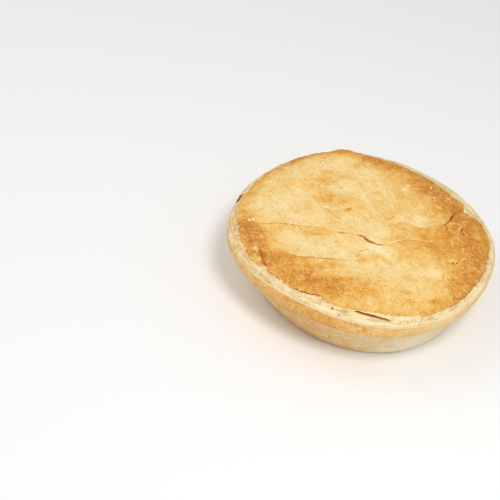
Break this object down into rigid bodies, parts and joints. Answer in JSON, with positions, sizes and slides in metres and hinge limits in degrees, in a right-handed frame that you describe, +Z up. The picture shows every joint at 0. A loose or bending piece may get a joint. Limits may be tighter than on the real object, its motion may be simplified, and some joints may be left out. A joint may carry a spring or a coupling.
{
  "type": "steak pie",
  "caption": "Round baked meat pie: tapered shortcrust case with a rounded rim band, closed by a browned, folded puff pastry lid with a flaky cut edge.",
  "frame": {"origin": "middle of the pie's outline, on the surface it stands on", "axes": "+Z up, square to the base; -Y towards the front of the pie, where the lid's upper leaves have lifted; +X towards the raised flap"},
  "size_m": [0.1202, 0.1206, 0.0362],
  "materials": {
    "case_pastry": "pale golden baked shortcrust, matt and slightly sandy",
    "lid_pastry": "browned puff pastry, thin flaky skin with a faint satin sheen"
  },
  "bodies": {
    "root": {"case": "case_pastry", "lid": "lid_pastry"}
  },
  "joints": []
}
